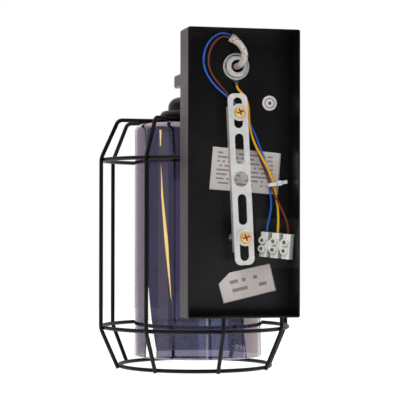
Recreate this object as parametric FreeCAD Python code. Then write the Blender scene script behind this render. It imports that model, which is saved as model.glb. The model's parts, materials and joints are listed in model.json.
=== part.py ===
import FreeCAD, Part
import math
import os
from FreeCAD import Placement, Rotation, Vector

# Cage wall light: a shallow steel back box holds an arm, and a lampholder hangs from the arm's end with a
# glass shade and a wire cage clamped under it.
# Frame: origin at the centre of the box's rim, where it meets the wall. +Z is up, and the front faces -Y.

# Back box
box_width = 80.0
box_height = 200.0
box_depth = 25.0
box_sheet = 1.0
box_edge_radius = 1.4

# Arm
arm_width = 30.0
arm_thickness = 10.0
arm_wall = 1.0
arm_centre_z = 75.4
arm_overhang = 15.0
arm_corner_radius = 1.6
arm_end_radius = 2.0
arm_socket_radius = 9.0
arm_socket_length = 10.0

# Threaded nipples and their nuts
nipple_radius = 5.0
nipple_bore_radius = 4.1
nipple_hole_clearance = 0.1
box_nipple_reach = 5.2
lamp_nut_flats = 14.0
lamp_nut_height = 2.4
nipple_washer_radius = 9.4
nipple_washer_thickness = 1.0
earth_lug_radius = 7.6
earth_lug_thickness = 0.8
earth_lug_tail = 10.6
earth_lug_barrel = 2.6
earth_lug_tail_width = 3.6
arm_nut_height = 2.2

# Mounting strap: a channel with four slots and a round hole
strap_length = 119.0
strap_width = 14.0
strap_sheet = 1.2
strap_flange_depth = 5.6
strap_flange_length = 101.0
strap_end_radius = 4.5
strap_face_y = -6.0
strap_centre_x = 0.7
strap_centre_z = -4.2
strap_tilt_deg = 2.8
slot_length = 21.3
slot_width = 6.3
inner_slot_offset = 21.0
outer_slot_offset = 46.0
centre_hole_radius = 5.3
strap_clearance = 0.05

# Strap screws with their washers, lock nuts and cap nuts
screw_radius = 2.0
screw_head_radius = 4.0
screw_head_height = 2.4
recess_arm = 2.6
recess_width = 0.8
recess_depth = 1.3
strap_washer_radius = 6.0
strap_washer_thickness = 1.0
upper_screw_along = 46.3
lower_screw_along = -40.4
screw_side_shift = -0.8
small_nut_flats = 7.0
small_nut_height = 3.0
cap_nut_height = 7.0
cap_nut_rim = 3.4
plate_slot_length = 9.6
plate_slot_width = 4.6

# Lampholder
holder_y = -141.0
holder_x = -1.2
spacer_radius = 8.0
skirt_radius = 20.5
skirt_wall = 4.2
skirt_bottom_z = -1.2
skirt_top_z = 55.6
skirt_counterbore_radius = 17.6
block_seat_z = 26.6
block_top_z = 38.0
block_bore_clearance = 0.1
cap_base_radius = 23.4
cap_base_z = 52.2
cap_shoulder_z = 54.4
cap_shoulder_radius = 15.0
cap_top_z = 62.4
cap_wall = 2.4
clamp_ring_radius = 29.6
upper_ring_thickness = 5.4
upper_ring_edge = 3.0
thread_clearance = 0.1
shell_radius = 13.3
shell_wall = 0.5
shell_bottom_z = 3.0
shell_wall_top_z = 23.2
shell_neck_radius = 11.2
shell_top_hole_radius = 9.0
contact_recess_radius = 8.6
contact_recess_depth = 3.2
contact_width = 4.0
contact_thickness = 0.5
contact_tilt_deg = 14.0
contact_reach = 11.0
contact_root_x = -6.5
contact_root_length = 3.0
contact_drop = 0.3

# Glass shade, and what clamps it
glass_radius = 49.2
glass_wall = 2.2
glass_bottom_z = -136.8
glass_shoulder_radius = 6.0
glass_hole_radius = 21.4
glass_rim_radius = 0.8
gasket_thickness = 0.9
gasket_radius = 29.0
shade_ring_thickness = 3.5
shade_ring_collar_radius = 22.9
shade_ring_collar_height = 3.0
shade_ring_ribs = 24
shade_ring_rib_radius = 0.9
ring_clearance = 0.3

# Wire cage
cage_x = 1.4
cage_wires = 8
cage_wire_radius = 1.5
cage_radius = 74.4
cage_first_wire_deg = 3.0
cage_top_bend_radius = 61.0
cage_upper_bend_z = 14.6
cage_lower_bend_z = -115.0
cage_foot_radius = 60.9
cage_foot_z = -145.2
cage_top_curve = 5.0
cage_side_curve = 14.0
spoke_inner_radius = 24.0
weld_bite = 0.15
upper_ring_z = 13.6
lower_ring_z = -114.2
bottom_ring_z = -144.0
hub_outer_radius = 28.6
hub_thickness = 1.6
hub_hole_radius = 23.5

# Terminal block, leaning in the box's lower corner
block_centre = Vector(-29.6, -16.16, -50.2)
block_turn_deg = 41.0
block_lean_deg = -5.0
pole_pitch = 8.5
pole_width = 5.8
pole_depth = 8.0
pole_length = 17.4
pole_corner = 1.1
web_height = 5.0
web_length = 6.0
tower_radius = 2.4
tower_height = 3.6
tower_spacing = 5.9
insert_radius = 2.3
insert_length = 14.6
insert_axis_height = 4.0
insert_bore_radius = 1.6
insert_clearance = 0.05
clamp_screw_radius = 1.5
clamp_screw_length = 4.2
clamp_screw_clearance = 0.05
clamp_screw_gap = 0.08
driver_slot_width = 0.5
driver_slot_depth = 0.6

# Insulating sheet under the terminal block
sheet_thickness = 0.3
sheet_left_x = -15.0
sheet_top_z = -31.5
sheet_bottom_z = -66.0
sheet_past_rim = 0.0

# Wires
sleeve_diameter = 4.6
conductor_diameter = 1.5
earth_diameter = 2.0
conductor_spacing = 1.1
wire_insertion = 7.0

# Cable tie round the wires
tie_centre = Vector(-24.7, -17.3, -7.4)
tie_band_height = 2.4
tie_band_thickness = 0.9
tie_inner_x = 5.2
tie_inner_y = 5.6
tie_head = 3.6
tie_tail_length = 5.0
tie_tilt_deg = 10.0

# Places that follow from the sizes above
plate_inner_y = -box_depth + box_sheet
plate_front_y = -box_depth
arm_start_y = plate_front_y - arm_socket_length
arm_end_y = holder_y - arm_overhang
arm_bottom_z = arm_centre_z - arm_thickness / 2
arm_floor_z = arm_bottom_z + arm_wall
hub_top_z = cap_base_z - upper_ring_thickness
hub_bottom_z = hub_top_z - hub_thickness
spoke_z = hub_bottom_z - cage_wire_radius + weld_bite
glass_top_z = spoke_z - cage_wire_radius - gasket_thickness
shade_ring_top_z = glass_top_z - glass_wall
shade_ring_bottom_z = shade_ring_top_z - shade_ring_thickness
collar_bottom_z = shade_ring_bottom_z - shade_ring_collar_height
hoop_radius = cage_radius - 2 * cage_wire_radius + weld_bite
foot_slope = (cage_radius - cage_foot_radius) / (cage_lower_bend_z - cage_foot_z)
foot_ring_radius = (
    cage_foot_radius + foot_slope * (bottom_ring_z - cage_foot_z)
    - (2 * cage_wire_radius - weld_bite) * math.hypot(1, foot_slope)
)
strap_back_y = strap_face_y - strap_sheet
thread_radius = skirt_radius + thread_clearance
TO_CAGE = Vector(cage_x, holder_y, 0)
TO_HOLDER = Vector(holder_x, holder_y, 0)

# Routes, as control points chosen along each wire
sleeve_route = [
    (7.4, -10.0, 94.6), (3.4, -9.6, 92.2), (0.0, -9.2, 88.8), (-2.3, -9.0, 84.6), (-2.8, -9.6, 80.2),
    (-1.4, -12.2, 76.4), (0.0, -17.4, 75.4), (0.2, -24.0, 75.3), (0.0, -36.0, 75.5), (-0.3, -58.0, 75.2),
    (0.2, -88.0, 75.6), (-0.6, -114.0, 76.4), (-1.2, -131.0, 76.9), (-1.2, -141.0, 76.9),
    (-1.2, -141.0, 66.0), (-1.0, -141.1, 57.0), (-1.2, -141.0, 47.0), (-1.2, -141.0, 38.0),
]
blue_route = [
    (13.6, -11.0, 97.6), (18.0, -12.0, 95.8), (21.8, -13.2, 92.0), (24.3, -14.6, 87.0), (25.4, -15.8, 81.2),
    (25.0, -16.8, 75.4), (22.9, -17.5, 69.8), (19.3, -18.0, 64.4), (14.4, -18.3, 59.2), (8.2, -18.3, 54.4),
    (1.6, -18.8, 49.0), (-4.4, -20.2, 42.6), (-9.6, -20.9, 35.6), (-13.6, -20.6, 27.0), (-16.7, -20.0, 18.6),
    (-19.4, -19.6, 11.0), (-21.0, -19.2, 4.4), (-22.1, -18.9, -2.2), (-23.4, -18.8, -9.0), (-24.4, -18.8, -16.0),
    (-24.8, -18.8, -23.0), (-23.6, -18.9, -30.0),
]
brown_route = [
    (13.8, -10.9, 95.0), (17.4, -12.0, 92.4), (20.2, -13.2, 88.2), (21.7, -14.6, 83.2), (21.9, -16.0, 77.8),
    (20.6, -17.2, 72.6), (17.4, -18.2, 67.2), (13.0, -19.4, 62.2), (7.6, -20.6, 57.0), (2.2, -21.4, 50.4),
    (-3.4, -22.2, 42.4), (-8.6, -22.2, 33.4), (-12.4, -21.4, 24.4), (-15.4, -20.4, 15.6), (-18.0, -19.0, 7.2),
    (-20.5, -17.3, 0.0), (-23.0, -16.1, -7.4), (-25.6, -14.4, -14.8), (-28.9, -12.4, -21.8),
    (-31.8, -10.4, -28.8),
]
earth_route = [
    (-2.2, -21.5, 58.0), (-5.0, -20.3, 54.8), (-6.9, -18.8, 50.6), (-7.6, -17.4, 45.4),
    (-7.5, -16.8, 39.4), (-8.0, -16.6, 32.4), (-10.0, -16.4, 25.0), (-13.1, -16.1, 17.8), (-16.9, -15.8, 11.2),
    (-20.6, -15.6, 4.6), (-23.8, -15.9, -2.0), (-26.1, -16.4, -8.6), (-27.4, -16.9, -15.6),
    (-28.6, -16.6, -22.6), (-28.8, -15.5, -29.6),
]


def export(name, shape):
    shape.exportStep("parts/" + name + ".step")
    print(name, "solids", len(shape.Solids), "valid", shape.isValid(), "volume", round(shape.Volume, 2))


def cylinder_z(radius, low, high):
    return Part.makeCylinder(radius, high - low, Vector(0, 0, low))


def tube_z(outer, inner, low, high):
    return cylinder_z(outer, low, high).cut(cylinder_z(inner, low - 1, high + 1))


def cylinder_y(radius, near, far, x, z):
    """A cylinder along Y from the higher value near to the lower value far."""
    return Part.makeCylinder(radius, near - far, Vector(x, near, z), Vector(0, -1, 0))


def revolve_z(points):
    outline = Part.makePolygon([Vector(r, 0, z) for r, z in points + points[:1]])
    return Part.Face(outline).revolve(Vector(0, 0, 0), Vector(0, 0, 1), 360)


def hexagon_prism(flats, height):
    """A hexagon on the XY plane, grown along +Z."""
    corner = flats / math.sqrt(3)
    steps = [math.radians(60 * i) for i in range(7)]
    outline = Part.makePolygon([Vector(corner * math.cos(a), corner * math.sin(a), 0) for a in steps])
    return Part.Face(outline).extrude(Vector(0, 0, height))


def chamfered_hexagon(flats, height):
    """A nut's body, whose corners are turned off at both faces."""
    corner = flats / math.sqrt(3)
    turned = revolve_z([
        (0, 0), (flats / 2, 0), (corner, (corner - flats / 2) * 0.6), (corner, height - (corner - flats / 2) * 0.6),
        (flats / 2, height), (0, height),
    ])
    return hexagon_prism(flats, height).common(turned)


def facing_minus_y(shape, x, y, z):
    """Turns a shape grown along +Z so that it grows along -Y from the given place."""
    shape.Placement = Placement(Vector(x, y, z), Rotation(Vector(1, 0, 0), 90)).multiply(shape.Placement)
    return shape


def slot_prism(length, width, thickness):
    """A round-ended slot along X on the XY plane, grown along +Z."""
    half = (length - width) / 2
    radius = width / 2
    low, high = Vector(-half, -radius, 0), Vector(half, -radius, 0)
    edges = [
        Part.LineSegment(low, high).toShape(),
        Part.Arc(high, Vector(half + radius, 0, 0), Vector(half, radius, 0)).toShape(),
        Part.LineSegment(Vector(half, radius, 0), Vector(-half, radius, 0)).toShape(),
        Part.Arc(Vector(-half, radius, 0), Vector(-half - radius, 0, 0), low).toShape(),
    ]
    return Part.Face(Part.Wire(edges)).extrude(Vector(0, 0, thickness))


def rounded_box(size_x, size_y, size_z, radius, axis):
    """A box centred on the origin, whose edges along the given axis are rounded."""
    box = Part.makeBox(size_x, size_y, size_z, Vector(-size_x / 2, -size_y / 2, -size_z / 2))
    along = [e for e in box.Edges if abs(abs(e.tangentAt(e.FirstParameter).dot(axis)) - 1) < 1e-6]
    return box.makeFillet(radius, along)


def rounded_path(points):
    """Straight runs joined by tangent arcs, and the arcs' radii."""
    points = [Vector(*p) for p in points]
    edges, radii = [], []
    start = points[0]
    for before, corner, after in zip(points, points[1:], points[2:]):
        into = (corner - before).normalize()
        out = (after - corner).normalize()
        turn = into.getAngle(out)
        trim = 0.45 * min((corner - before).Length, (after - corner).Length)
        radii.append(trim / math.tan(turn / 2))
        first = corner - into * trim
        last = corner + out * trim
        inward = (out - into).normalize()
        middle = corner + inward * (radii[-1] / math.cos(turn / 2) - radii[-1])
        edges.append(Part.LineSegment(start, first).toShape())
        edges.append(Part.Arc(first, middle, last).toShape())
        start = last
    edges.append(Part.LineSegment(start, points[-1]).toShape())
    return Part.Wire(edges), radii


def path_tube(points, radius):
    path, radii = rounded_path(points)
    first, second = Vector(*points[0]), Vector(*points[1])
    circle = Part.Circle(first, second - first, radius).toShape()
    return path.makePipeShell([Part.Wire(circle)], True, False), path.Length, radii


def cord_tube(name, points, diameter):
    tube, length, radii = path_tube(points, diameter / 2)
    section = math.pi * diameter ** 2 / 4
    print(name, "length", round(length, 1), "volume over section x length",
          round(tube.Volume / (section * length), 4), "radii", [round(r, 1) for r in radii])
    return tube


# Back box and arm

def strap_point(along, side):
    """A place on the strap's face: along its length from the round hole, and to the side."""
    tilt = math.radians(strap_tilt_deg)
    x = strap_centre_x + along * math.sin(tilt) + side * math.cos(tilt)
    z = strap_centre_z + along * math.cos(tilt) - side * math.sin(tilt)
    return x, z


def screw_points():
    return [strap_point(along, screw_side_shift) for along in (upper_screw_along, lower_screw_along)]


def make_wall_box():
    outer = Part.makeBox(box_width, box_depth, box_height, Vector(-box_width / 2, -box_depth, -box_height / 2))
    rounded = []
    for edge in outer.Edges:
        if edge.BoundBox.YMax < -box_depth / 2 or edge.BoundBox.YLength > box_depth / 2:
            rounded.append(edge)
    outer = outer.makeFillet(box_edge_radius, rounded)
    inner_width = box_width - 2 * box_sheet
    inner_height = box_height - 2 * box_sheet
    inner = Part.makeBox(inner_width, box_depth, inner_height, Vector(-inner_width / 2, plate_inner_y, -inner_height / 2))
    box = outer.cut(inner)
    hole_radius = nipple_radius + nipple_hole_clearance
    box = box.cut(cylinder_y(hole_radius, 0, 2 * plate_front_y, 0, arm_centre_z))
    for x, z in screw_points():
        slot = slot_prism(plate_slot_length, plate_slot_width, 2 * box_depth)
        box = box.cut(facing_minus_y(slot, 0, 0, z))
    return box


def make_arm_socket():
    """A turned boss that is tapped for the nipple and carries the arm."""
    boss = cylinder_y(arm_socket_radius, plate_front_y, arm_start_y, 0, arm_centre_z)
    return boss.cut(cylinder_y(nipple_radius, plate_front_y + 1, arm_start_y - 1, 0, arm_centre_z))


def make_arm_tube():
    length = arm_start_y - arm_end_y
    middle = Vector(0, (arm_start_y + arm_end_y) / 2, arm_centre_z)
    along_y = Vector(0, 1, 0)
    outer = rounded_box(arm_width, length, arm_thickness, arm_corner_radius, along_y)
    outer.translate(middle)
    end_edges = [e for e in outer.Edges if e.BoundBox.YMax < arm_end_y + 0.01]
    outer = outer.makeFillet(min(arm_end_radius, arm_thickness / 3), end_edges)
    hollow = rounded_box(
        arm_width - 2 * arm_wall, length - 2 * arm_wall, arm_thickness - 2 * arm_wall,
        max(arm_corner_radius - arm_wall, 0.2), along_y,
    )
    hollow.translate(middle)
    tube = outer.cut(hollow)
    tube = tube.cut(cylinder_y(nipple_bore_radius, arm_start_y + 1, arm_start_y - 2 * arm_wall, 0, arm_centre_z))
    hole = cylinder_z(nipple_radius + nipple_hole_clearance, arm_bottom_z - 1, arm_floor_z + 1)
    hole.translate(TO_HOLDER)
    return tube.cut(hole)


def make_box_nipple():
    near = plate_inner_y + box_nipple_reach
    far = arm_start_y
    tube = cylinder_y(nipple_radius, near, far, 0, arm_centre_z)
    return tube.cut(cylinder_y(nipple_bore_radius, near + 1, far - 1, 0, arm_centre_z))


def make_nipple_stack():
    """The earth ring terminal, washer and nut on the nipple, from the plate towards the wall."""
    bore = nipple_radius + nipple_hole_clearance
    lug_y = plate_inner_y + earth_lug_thickness
    ring = cylinder_y(earth_lug_radius, lug_y, plate_inner_y, 0, arm_centre_z)
    tail = Part.makeBox(
        earth_lug_tail_width, earth_lug_thickness, earth_lug_tail,
        Vector(-earth_lug_tail_width / 2, plate_inner_y, -earth_lug_tail),
    )
    barrel = Part.makeCylinder(
        earth_lug_tail_width / 2, earth_lug_barrel, Vector(0, plate_inner_y + earth_lug_tail_width / 2, -earth_lug_tail),
        Vector(0, 0, -1),
    )
    wire_hole = Part.makeCylinder(
        earth_diameter / 2 + 0.05, 8, Vector(0, plate_inner_y + earth_lug_tail_width / 2, -earth_lug_tail - 4),
    )
    crimp = tail.fuse(barrel).cut(wire_hole)
    crimp.translate(Vector(0, 0, arm_centre_z))
    lug = ring.fuse(crimp).cut(cylinder_y(bore, 0, plate_front_y, 0, arm_centre_z)).removeSplitter()
    washer_y = lug_y + nipple_washer_thickness
    washer = cylinder_y(nipple_washer_radius, washer_y, lug_y, 0, arm_centre_z)
    washer = washer.cut(cylinder_y(bore, 0, plate_front_y, 0, arm_centre_z))
    nut = chamfered_hexagon(lamp_nut_flats, lamp_nut_height).cut(cylinder_z(nipple_radius, -1, lamp_nut_height + 1))
    facing_minus_y(nut, 0, washer_y + lamp_nut_height, arm_centre_z)
    return lug, washer, nut


# Strap, with the screws that hold it

def along_strap(shape):
    """Moves a shape made in the strap's own frame, with +Z along its length and its face at Y = 0."""
    turn = Rotation(Vector(0, 1, 0), strap_tilt_deg)
    place = Placement(Vector(strap_centre_x, strap_face_y, strap_centre_z), turn)
    shape.Placement = place.multiply(shape.Placement)
    return shape


def make_strap():
    up = Vector(0, 1, 0)
    plate = rounded_box(strap_width, strap_sheet, strap_length, strap_end_radius, up)
    plate.translate(Vector(0, -strap_sheet / 2, 0))
    for side in (-1, 1):
        flange = Part.makeBox(strap_sheet, strap_flange_depth, strap_flange_length)
        left = strap_width / 2 - strap_sheet if side > 0 else -strap_width / 2
        flange.translate(Vector(left, -strap_flange_depth, -strap_flange_length / 2))
        plate = plate.fuse(flange)
    for offset in (-outer_slot_offset, -inner_slot_offset, inner_slot_offset, outer_slot_offset):
        slot = slot_prism(slot_length, slot_width, 2 * strap_sheet)
        slot.rotate(Vector(0, 0, 0), Vector(0, 0, 1), 90)
        facing_minus_y(slot, 0, strap_sheet / 2, offset)
        plate = plate.cut(slot)
    hole = cylinder_y(centre_hole_radius, strap_sheet, -2 * strap_sheet, 0, 0)
    return along_strap(plate.cut(hole).removeSplitter())


def make_strap_screw(x, z):
    """A pan head with a cross recess, and a shank that reaches through the plate into the cap nut."""
    under_head = strap_face_y + strap_washer_thickness + strap_clearance
    head = revolve_z([
        (0, 0), (screw_head_radius, 0), (screw_head_radius, screw_head_height * 0.35),
        (screw_head_radius * 0.82, screw_head_height * 0.8), (screw_head_radius * 0.5, screw_head_height),
        (0, screw_head_height),
    ])
    for turn in (0, 90):
        cut = Part.makeBox(2 * recess_arm, recess_width, recess_depth + 1)
        cut.translate(Vector(-recess_arm, -recess_width / 2, screw_head_height - recess_depth))
        cut.rotate(Vector(0, 0, 0), Vector(0, 0, 1), turn + 20)
        head = head.cut(cut)
    shank_length = under_head - plate_front_y + cap_nut_height * 0.6
    screw = head.fuse(Part.makeCylinder(screw_radius, shank_length, Vector(0, 0, 0), Vector(0, 0, -1)))
    screw.rotate(Vector(0, 0, 0), Vector(1, 0, 0), -90)
    screw.translate(Vector(x, under_head, z))
    return screw


def make_strap_hardware():
    screws, washers, lock_nuts, cap_nuts = [], [], [], []
    for x, z in screw_points():
        screws.append(make_strap_screw(x, z))
        washer_y = strap_face_y + strap_clearance
        washer = cylinder_y(strap_washer_radius, washer_y + strap_washer_thickness, washer_y, x, z)
        washers.append(washer.cut(cylinder_y(screw_radius + 0.15, 0, strap_face_y - 1, x, z)))
        nut = chamfered_hexagon(small_nut_flats, small_nut_height)
        nut = nut.cut(cylinder_z(screw_radius, -1, small_nut_height + 1))
        lock_nuts.append(facing_minus_y(nut, x, strap_back_y - strap_clearance, z))
        cap = chamfered_hexagon(small_nut_flats, cap_nut_rim)
        dome = Part.makeCylinder(small_nut_flats * 0.47, cap_nut_height - small_nut_flats * 0.47)
        dome = dome.fuse(Part.makeSphere(small_nut_flats * 0.47, Vector(0, 0, cap_nut_height - small_nut_flats * 0.47)))
        dome = dome.common(cylinder_z(small_nut_flats, 0, cap_nut_height))
        cap = cap.fuse(dome).cut(cylinder_z(screw_radius, -1, cap_nut_height * 0.6 + 0.1)).removeSplitter()
        cap_nuts.append(facing_minus_y(cap, x, plate_front_y, z))
    return [Part.makeCompound(group) for group in (screws, washers, lock_nuts, cap_nuts)]


# Lampholder

def at_holder(shape):
    shape.translate(TO_HOLDER)
    return shape


def make_arm_nut():
    nut = chamfered_hexagon(lamp_nut_flats, arm_nut_height).cut(cylinder_z(nipple_radius, -1, arm_nut_height + 1))
    nut.translate(Vector(0, 0, arm_floor_z))
    return at_holder(nut)


def make_holder_nipple():
    top = arm_floor_z + arm_nut_height + 0.6
    return at_holder(tube_z(nipple_radius, nipple_bore_radius, cap_top_z - cap_wall - 1, top))


def make_holder_spacer():
    return at_holder(tube_z(spacer_radius, nipple_radius + nipple_hole_clearance, cap_top_z, arm_bottom_z))


def make_cap():
    """The domed top of the lampholder, open below, with a collar that screws over the skirt."""
    rise = cap_top_z - cap_shoulder_z
    bulge = (cap_base_radius - cap_shoulder_radius) * 0.29
    outer_edges = [
        Part.LineSegment(Vector(0, 0, cap_base_z), Vector(cap_base_radius, 0, cap_base_z)).toShape(),
        Part.LineSegment(Vector(cap_base_radius, 0, cap_base_z), Vector(cap_base_radius, 0, cap_shoulder_z)).toShape(),
        Part.Arc(Vector(cap_base_radius, 0, cap_shoulder_z),
                 Vector(cap_base_radius - bulge, 0, cap_top_z - rise * 0.29),
                 Vector(cap_shoulder_radius, 0, cap_top_z)).toShape(),
        Part.LineSegment(Vector(cap_shoulder_radius, 0, cap_top_z), Vector(0, 0, cap_top_z)).toShape(),
        Part.LineSegment(Vector(0, 0, cap_top_z), Vector(0, 0, cap_base_z)).toShape(),
    ]
    outer = Part.Face(Part.Wire(outer_edges)).revolve(Vector(0, 0, 0), Vector(0, 0, 1), 360)
    inside_top = cap_top_z - cap_wall
    inner = revolve_z([
        (0, cap_base_z - 1), (thread_radius, cap_base_z - 1), (thread_radius, skirt_top_z),
        (skirt_counterbore_radius, skirt_top_z + 1.4), (cap_shoulder_radius - 1, inside_top), (0, inside_top),
    ])
    cap = outer.cut(inner).cut(cylinder_z(nipple_radius, inside_top - 1, cap_top_z + 1))
    return at_holder(cap)


def make_upper_ring():
    """The ring that the cage's hub is clamped up against."""
    top, bottom = cap_base_z, hub_top_z
    edge = min(upper_ring_edge, upper_ring_thickness - 1)
    ring = revolve_z([
        (thread_radius, bottom), (clamp_ring_radius - 0.8, bottom), (clamp_ring_radius, bottom + 0.8),
        (clamp_ring_radius, top - edge * 1.15), (clamp_ring_radius - edge * 0.25, top - edge * 0.65),
        (clamp_ring_radius - edge * 0.65, top - edge * 0.25), (cap_base_radius + 1.0, top), (thread_radius, top),
    ])
    return at_holder(ring)


def make_skirt():
    bore = skirt_radius - skirt_wall
    edge = 0.8
    skirt = revolve_z([
        (bore, skirt_bottom_z), (skirt_radius - edge, skirt_bottom_z), (skirt_radius, skirt_bottom_z + edge),
        (skirt_radius, skirt_top_z - edge), (skirt_radius - edge, skirt_top_z), (skirt_counterbore_radius, skirt_top_z),
        (skirt_counterbore_radius, block_seat_z), (bore, block_seat_z),
    ])
    return at_holder(skirt)


def make_contact_block():
    """The moulded insert that holds the contacts, seated on the step inside the skirt."""
    radius = skirt_counterbore_radius - block_bore_clearance
    block = cylinder_z(radius, block_seat_z, block_top_z)
    for side in (-1, 1):
        well = Part.makeBox(8, 7, 6, Vector(-4 + side * 10.5, -3.5, block_top_z - 4))
        block = block.cut(well)
    recess = cylinder_z(contact_recess_radius, block_seat_z - 1, block_seat_z + contact_recess_depth)
    return at_holder(block.cut(recess))


def make_screw_shell():
    """The sheet-metal socket thread, drawn in at its top to a flange under the insert."""
    outer = shell_radius + shell_wall
    flange_z = block_seat_z - shell_wall
    shell = revolve_z([
        (shell_radius, shell_bottom_z), (outer, shell_bottom_z), (outer, shell_wall_top_z + shell_wall / 2),
        (shell_neck_radius + shell_wall / 2, block_seat_z), (shell_top_hole_radius, block_seat_z),
        (shell_top_hole_radius, flange_z), (shell_neck_radius, flange_z), (shell_radius, shell_wall_top_z),
    ])
    return at_holder(shell)


def make_centre_contact():
    """A leaf that slopes down from its fixed end, in the insert's recess, to the middle of the socket."""
    root = Part.makeBox(
        contact_root_length, contact_width, contact_thickness,
        Vector(contact_root_x - contact_root_length / 2, -contact_width / 2, -contact_drop - contact_thickness),
    )
    leaf = Part.makeBox(contact_reach, contact_width, contact_thickness, Vector(0, -contact_width / 2, -contact_thickness))
    leaf.rotate(Vector(0, 0, 0), Vector(0, 1, 0), contact_tilt_deg)
    leaf.translate(Vector(contact_root_x + contact_root_length * 0.4, 0, -contact_drop))
    contact = root.fuse(leaf).removeSplitter()
    contact.translate(Vector(0, 0, block_seat_z + contact_recess_depth))
    return at_holder(contact)


# Shade and cage, clamped under the upper ring

def make_shade_ring():
    """The threaded ring inside the glass, with grip ribs round its edge."""
    body = revolve_z([
        (thread_radius, collar_bottom_z), (shade_ring_collar_radius, collar_bottom_z),
        (shade_ring_collar_radius, shade_ring_bottom_z), (clamp_ring_radius - 0.9, shade_ring_bottom_z),
        (clamp_ring_radius, shade_ring_bottom_z + 0.7), (clamp_ring_radius, shade_ring_top_z - ring_clearance),
        (thread_radius, shade_ring_top_z - ring_clearance),
    ])
    for i in range(shade_ring_ribs):
        angle = 2 * math.pi * i / shade_ring_ribs
        groove = cylinder_z(shade_ring_rib_radius, collar_bottom_z - 1, shade_ring_top_z + 1)
        reach = clamp_ring_radius + shade_ring_rib_radius * 0.35
        groove.translate(Vector(reach * math.cos(angle), reach * math.sin(angle), 0))
        body = body.cut(groove)
    return at_holder(body)


def shade_profile(radius, top, shoulder, rim_hole):
    corner = Vector(radius - shoulder, 0, top)
    side = Vector(radius, 0, top - shoulder)
    middle = Vector(radius - shoulder * (1 - math.sqrt(0.5)), 0, top - shoulder * (1 - math.sqrt(0.5)))
    floor = glass_bottom_z
    return [
        Part.LineSegment(Vector(rim_hole, 0, top), corner).toShape(),
        Part.Arc(corner, middle, side).toShape(),
        Part.LineSegment(side, Vector(radius, 0, floor)).toShape(),
        Part.LineSegment(Vector(radius, 0, floor), Vector(rim_hole, 0, floor)).toShape(),
        Part.LineSegment(Vector(rim_hole, 0, floor), Vector(rim_hole, 0, top)).toShape(),
    ]


def make_glass():
    """A cylinder closed above by a flat top with a hole, and open below."""
    up = Vector(0, 0, 1)
    outer = Part.Face(Part.Wire(shade_profile(glass_radius, glass_top_z, glass_shoulder_radius, glass_hole_radius)))
    inner_shoulder = glass_shoulder_radius - glass_wall
    inner_top = glass_top_z - glass_wall
    inner = Part.Face(Part.Wire(shade_profile(glass_radius - glass_wall, inner_top, inner_shoulder, glass_hole_radius)))
    shell = outer.cut(inner).revolve(Vector(0, 0, 0), up, 360)
    rim = [e for e in shell.Edges if e.BoundBox.ZMax < glass_bottom_z + 0.01 and e.BoundBox.XLength > glass_radius]
    return at_holder(shell.makeFillet(glass_rim_radius, rim))


def make_gasket():
    return at_holder(tube_z(gasket_radius, glass_hole_radius + 0.4, glass_top_z, glass_top_z + gasket_thickness))


def at_cage(shape):
    shape.translate(TO_CAGE)
    return shape


def make_cage_hub():
    return at_cage(tube_z(hub_outer_radius, hub_hole_radius, hub_bottom_z, hub_top_z))


def hoop(radius, z):
    return at_cage(Part.makeTorus(radius, cage_wire_radius, Vector(0, 0, z)))


def bend(before, corner, after, radius):
    """The two tangent points and the middle of a bend, as radius and height pairs turned into vectors."""
    before, corner, after = [Vector(r, 0, z) for r, z in (before, corner, after)]
    into = (corner - before).normalize()
    out = (after - corner).normalize()
    turn = into.getAngle(out)
    trim = min(radius * math.tan(turn / 2), 0.45 * (corner - before).Length, 0.45 * (after - corner).Length)
    radius = trim / math.tan(turn / 2)
    inward = (out - into).normalize()
    centre = corner + inward * (radius / math.cos(turn / 2))
    return corner - into * trim, centre - inward * radius, corner + out * trim


def make_cage_rib(angle_deg):
    """One wire: out from the hub, down past the hoops, and in to the bottom ring."""
    outline = [
        (spoke_inner_radius, spoke_z), (cage_top_bend_radius, spoke_z), (cage_radius, cage_upper_bend_z),
        (cage_radius, cage_lower_bend_z), (cage_foot_radius, cage_foot_z),
    ]
    curves = [cage_top_curve, cage_side_curve, cage_side_curve]
    edges = []
    start = Vector(outline[0][0], 0, outline[0][1])
    for before, corner, after, radius in zip(outline, outline[1:], outline[2:], curves):
        first, middle, last = bend(before, corner, after, radius)
        edges.append(Part.LineSegment(start, first).toShape())
        edges.append(Part.Arc(first, middle, last).toShape())
        start = last
    edges.append(Part.LineSegment(start, Vector(cage_foot_radius, 0, cage_foot_z)).toShape())
    circle = Part.Circle(Vector(spoke_inner_radius, 0, spoke_z), Vector(1, 0, 0), cage_wire_radius).toShape()
    rib = Part.Wire(edges).makePipeShell([Part.Wire(circle)], True, False)
    rib.rotate(Vector(0, 0, 0), Vector(0, 0, 1), angle_deg)
    return at_cage(rib)


# Terminal block: its own frame has X along the row of poles, Y along the towers and Z along the wires

def block_placement():
    turn = Rotation(Vector(0, 0, 1), -block_turn_deg).multiply(Rotation(Vector(0, 1, 0), block_lean_deg))
    return Placement(block_centre, turn)


def at_block(shape):
    shape.Placement = block_placement().multiply(shape.Placement)
    return shape


def pole_offsets():
    return [-pole_pitch, 0.0, pole_pitch]


def tower_heights():
    return [-tower_spacing / 2, tower_spacing / 2]


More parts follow.
